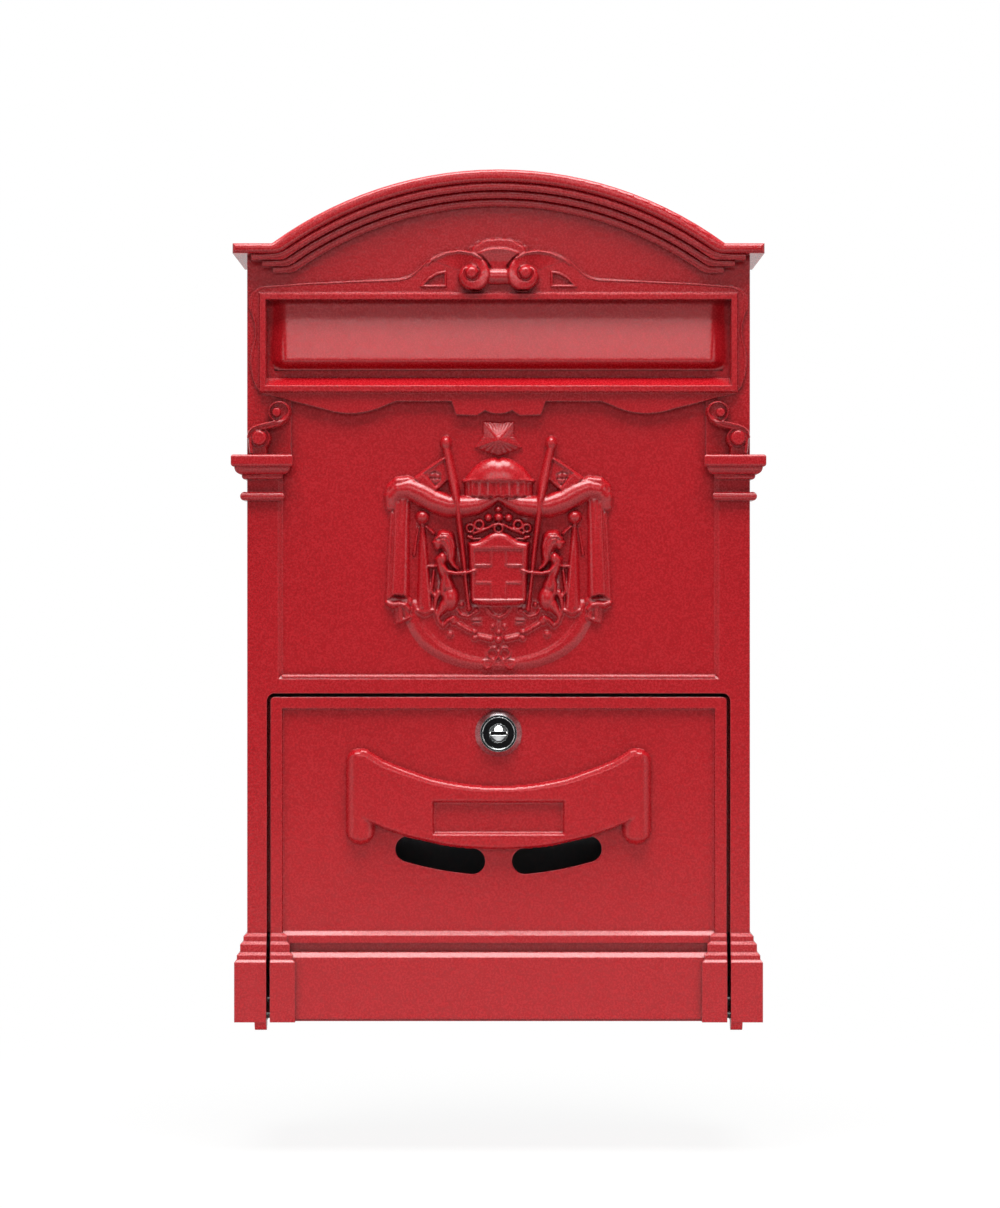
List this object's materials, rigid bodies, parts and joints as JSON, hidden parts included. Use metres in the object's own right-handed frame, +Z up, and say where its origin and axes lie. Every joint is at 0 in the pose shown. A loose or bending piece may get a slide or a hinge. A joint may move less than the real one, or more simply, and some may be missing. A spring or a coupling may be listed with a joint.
{
  "type": "wall letter box",
  "caption": "Cast wall letter box with arched cornice, pilasters and relief, a sprung letter flap, and a lockable drop-down door with a name recess and viewing slots.",
  "frame": {"origin": "middle of the four wall holes, on the rear face of the back plate", "axes": "+X to the right of someone who faces the box, +Y into the wall, +Z up"},
  "size_m": [0.2572, 0.09, 0.4142],
  "materials": {
    "red_coat": "fine-textured red powder coat on cast aluminium",
    "zinc_sheet": "dull galvanised sheet",
    "zinc_fasteners": "bright zinc plate",
    "steel_rod": "drawn steel rod",
    "spring_steel": "oiled spring wire",
    "lock_chrome": "polished chrome plate"
  },
  "bodies": {
    "box": {"body_shell": "red_coat", "back_plate": "zinc_sheet", "back_plate_screws": "zinc_fasteners", "flap_rod": "steel_rod", "flap_rod_clips": "steel_rod", "flap_spring": "spring_steel", "door_hinge_pin_left": "steel_rod", "door_hinge_pin_right": "steel_rod"},
    "flap": {"letter_flap": "red_coat"},
    "door": {"door": "red_coat", "lock_housing": "lock_chrome", "lock_washer": "zinc_fasteners", "lock_nut": "zinc_fasteners"},
    "lock_cylinder": {"lock_plug": "lock_chrome", "lock_cam": "zinc_fasteners", "lock_cam_washer": "zinc_fasteners", "lock_cam_screw": "zinc_fasteners"}
  },
  "joints": [
    {"name": "flap_hinge", "type": "hinge", "parent": "box", "child": "flap", "pos_m": [0, -0.0701, 0.1628], "axis": [1, 0, 0], "range_deg": [0, 75], "stiffness_Nm_per_rad": 0.015, "springref_deg": -45.84, "deforming": ["flap_spring"]},
    {"name": "door_hinge", "type": "hinge", "parent": "box", "child": "door", "pos_m": [0, -0.078, -0.187], "axis": [1, 0, 0], "range_deg": [0, 100]},
    {"name": "lock_turn", "type": "hinge", "parent": "door", "child": "lock_cylinder", "pos_m": [0, -0.07, -0.0512], "axis": [0, 1, 0], "range_deg": [0, 90]}
  ]
}
